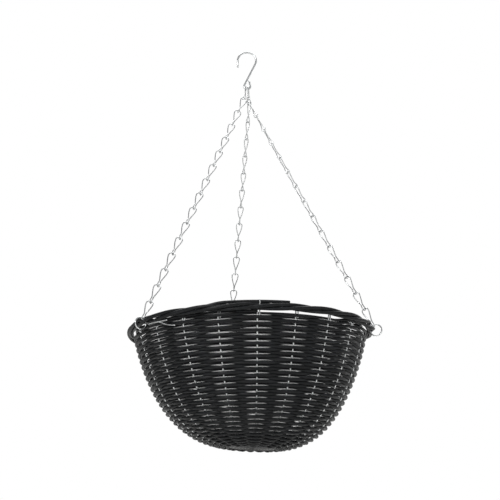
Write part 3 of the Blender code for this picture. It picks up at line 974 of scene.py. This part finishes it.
class BASKET_OT_wire_frame(bpy.types.Operator):
    """Builds the stakes and the ring that ties them at the base"""

    bl_idname = "basket.add_wire_frame"
    bl_label = "Add Wire Frame"

    def execute(self, context):
        sizes = context.scene.basket_sizes
        wire = zinc_plated_wire(
            "galvanised_stake_wire", roughness=0.34, dulled=0.25, bright=True)
        bowl = Bowl()
        chance = random.Random(7)
        meshes = []
        for index in range(STAKE_COUNT):
            angle = FIRST_STAKE_ANGLE + index * FULL_TURN / STAKE_COUNT
            meshes.append(stake_mesh(bowl, angle, sizes, chance))
        low = bowl.length_at_radius(BASE_RING_RADIUS)
        points = [bowl.place(low, index * FULL_TURN / BASE_RING_STEPS)
                  for index in range(BASE_RING_STEPS)]
        meshes.append(strand_mesh("base_ring", points, sizes.stake_wire, closed=True, sides=10))
        for corners in STRAY_ENDS:
            points = [bowl.place(length, angle, offset) for length, angle, offset in corners]
            path = smooth_path(points, steps=STRAY_STEPS, closed=False)
            meshes.append(strand_mesh("stray_end", path, STRAY_WIRE, sides=10, cut=0.0001))
        stakes = add_piece("stakes_and_base_ring", joined("stakes_and_base_ring", meshes), wire)
        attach(stakes, "basket")
        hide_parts("wire_frame")
        return {"FINISHED"}


class BASKET_OT_studio(bpy.types.Operator):
    """Sets the camera, the soft lights, the pale floor and the white surround"""

    bl_idname = "basket.add_studio"
    bl_label = "Add Studio"

    def execute(self, context):
        scene = context.scene
        scene.view_settings.view_transform = "Standard"
        add_camera(scene)
        for softbox in SOFTBOXES:
            add_softbox(*softbox)
        add_floor(scene)
        add_surround(scene)
        return {"FINISHED"}


def add_camera(scene):
    """The photograph's camera, a little under the basket and looking up at it."""
    camera = bpy.data.cameras.new("camera")
    camera.sensor_width = SENSOR_WIDTH
    camera.lens = FOCAL_PIXELS / IMAGE_PIXELS * SENSOR_WIDTH
    camera.shift_x = (IMAGE_PIXELS / 2 - AXIS_PIXEL) / IMAGE_PIXELS
    holder = bpy.data.objects.new("camera", camera)
    scene.collection.objects.link(holder)
    rim_top = rope_height() + BORDER_THICKNESS / 2
    forward = Vector((0, math.cos(CAMERA_PITCH), math.sin(CAMERA_PITCH)))
    up = Vector((0, -math.sin(CAMERA_PITCH), math.cos(CAMERA_PITCH)))
    level = Vector((1, 0, 0))
    right = level * math.cos(CAMERA_ROLL) - up * math.sin(CAMERA_ROLL)
    top = level * math.sin(CAMERA_ROLL) + up * math.cos(CAMERA_ROLL)
    turn = Matrix((right, top, -forward)).transposed()
    place = Vector((0, -CAMERA_DISTANCE, rim_top - CAMERA_DROP))
    holder.matrix_world = Matrix.Translation(place) @ turn.to_4x4()
    scene.camera = holder


def add_softbox(name, place, target, size, power):
    light = bpy.data.lights.new(name, "AREA")
    light.shape = "RECTANGLE"
    light.size, light.size_y = size
    light.energy = power
    holder = bpy.data.objects.new(name, light)
    bpy.context.scene.collection.objects.link(holder)
    holder.location = place
    holder.visible_camera = False
    holder.rotation_euler = (Vector(target) - Vector(place)).to_track_quat("-Z", "Y").to_euler()


def add_floor(scene):
    """Matt pale paper far below the basket, which keeps its soft shadow."""
    colours = scene.basket_colours
    material = new_material("matt_paper_floor")
    tree = material.node_tree
    place = add_node(tree, "ShaderNodeTexCoord")
    fibres = add_node(tree, "ShaderNodeTexNoise", {
        "Vector": place.outputs["Object"], "Scale": 1 / PAPER_FIBRE, "Detail": 3.0})
    bump = add_node(tree, "ShaderNodeBump", {
        "Height": fibres.outputs["Fac"], "Strength": 0.1, "Distance": 0.0002})
    shader = add_node(tree, "ShaderNodeBsdfPrincipled", {
        "Base Color": linear(colours.floor), "Roughness": 0.9, "Normal": bump.outputs["Normal"]})
    add_node(tree, "ShaderNodeOutputMaterial", {"Surface": shader.outputs["BSDF"]})
    shape = bmesh.new()
    bmesh.ops.create_grid(shape, x_segments=4, y_segments=4, size=FLOOR_REACH)
    mesh = bpy.data.meshes.new("floor")
    shape.to_mesh(mesh)
    shape.free()
    mesh.transform(Matrix.Translation((0, 0, CAD_BOX[0].z - FLOOR_DROP)))
    floor = add_piece("floor", mesh, material)


def add_surround(scene):
    """Plain white to the eye, a dimmer room in reflections and a soft fill on matt surfaces."""
    world = bpy.data.worlds.new("white_surround")
    scene.world = world
    world.use_nodes = True
    tree = world.node_tree
    tree.nodes.clear()
    path = add_node(tree, "ShaderNodeLightPath")
    seen = add_node(tree, "ShaderNodeMath", {
        0: path.outputs["Is Camera Ray"], 1: path.outputs["Is Glossy Ray"]},
        {"operation": "MAXIMUM"})
    seen = add_node(tree, "ShaderNodeMath", {
        0: seen.outputs[0], 1: path.outputs["Is Transmission Ray"]}, {"operation": "MAXIMUM"})
    place = add_node(tree, "ShaderNodeTexCoord")
    way = add_node(tree, "ShaderNodeSeparateXYZ", {"Vector": place.outputs["Generated"]})
    # The room on the viewer's side is darker than the lit backdrop
    depth = add_node(tree, "ShaderNodeMapRange", {
        "Value": way.outputs["Y"], "From Min": 0.3, "From Max": 1.0,
        "To Min": 0.3, "To Max": 0.45})
    # Its right side is the lighter one, which gives the hook its bright and its dark half
    side = add_node(tree, "ShaderNodeMapRange", {
        "Value": way.outputs["X"], "From Min": -0.5, "From Max": 0.5,
        "To Min": 0.5, "To Max": 1.5})
    lit = add_node(tree, "ShaderNodeMath", {
        0: depth.outputs["Result"], 1: side.outputs["Result"]}, {"operation": "MULTIPLY"})
    room = add_node(tree, "ShaderNodeMath", {
        0: lit.outputs[0], 1: path.outputs["Is Camera Ray"]}, {"operation": "MAXIMUM"})
    # The fill comes mostly from the viewer's side
    fill = add_node(tree, "ShaderNodeMapRange", {
        "Value": way.outputs["Y"], "From Min": -1.0, "From Max": -0.4,
        "To Min": 5.3, "To Max": 0.2})
    strength = add_node(tree, "ShaderNodeMapRange", {
        "Value": seen.outputs[0], "To Min": fill.outputs["Result"], "To Max": room.outputs[0]})
    light = add_node(tree, "ShaderNodeBackground", {
        "Color": (1.0, 1.0, 1.0, 1.0), "Strength": strength.outputs["Result"]})
    add_node(tree, "ShaderNodeOutputWorld", {"Surface": light.outputs["Background"]})


class BASKET_PT_panel(bpy.types.Panel):
    """Lists the basket's sizes, colours and pieces"""

    bl_idname = "BASKET_PT_panel"
    bl_label = "Hanging Basket"
    bl_space_type = "VIEW_3D"
    bl_region_type = "UI"
    bl_category = "Basket"

    def draw(self, context):
        layout = self.layout
        for group in (context.scene.basket_sizes, context.scene.basket_colours):
            for name in group.__annotations__:
                layout.prop(group, name)
        for operator in OPERATORS:
            layout.operator(operator.bl_idname)


OPERATORS = (
    BASKET_OT_hook,
    BASKET_OT_chain,
    BASKET_OT_rings,
    BASKET_OT_border,
    BASKET_OT_cane_end,
    BASKET_OT_weave,
    BASKET_OT_wire_frame,
    BASKET_OT_studio,
)
CLASSES = (BasketSizes, BasketColours, *OPERATORS, BASKET_PT_panel)


def register():
    for cls in CLASSES:
        bpy.utils.register_class(cls)
    bpy.types.Scene.basket_sizes = bpy.props.PointerProperty(type=BasketSizes)
    bpy.types.Scene.basket_colours = bpy.props.PointerProperty(type=BasketColours)


def unregister():
    del bpy.types.Scene.basket_colours
    del bpy.types.Scene.basket_sizes
    for cls in reversed(CLASSES):
        bpy.utils.unregister_class(cls)


def main():
    register()
    bpy.ops.basket.add_hook()
    bpy.ops.basket.add_chain()
    bpy.ops.basket.add_rings()
    bpy.ops.basket.add_border()
    bpy.ops.basket.add_cane_end()
    bpy.ops.basket.add_weave()
    bpy.ops.basket.add_wire_frame()
    bpy.ops.basket.add_studio()


if __name__ == "__main__":
    main()
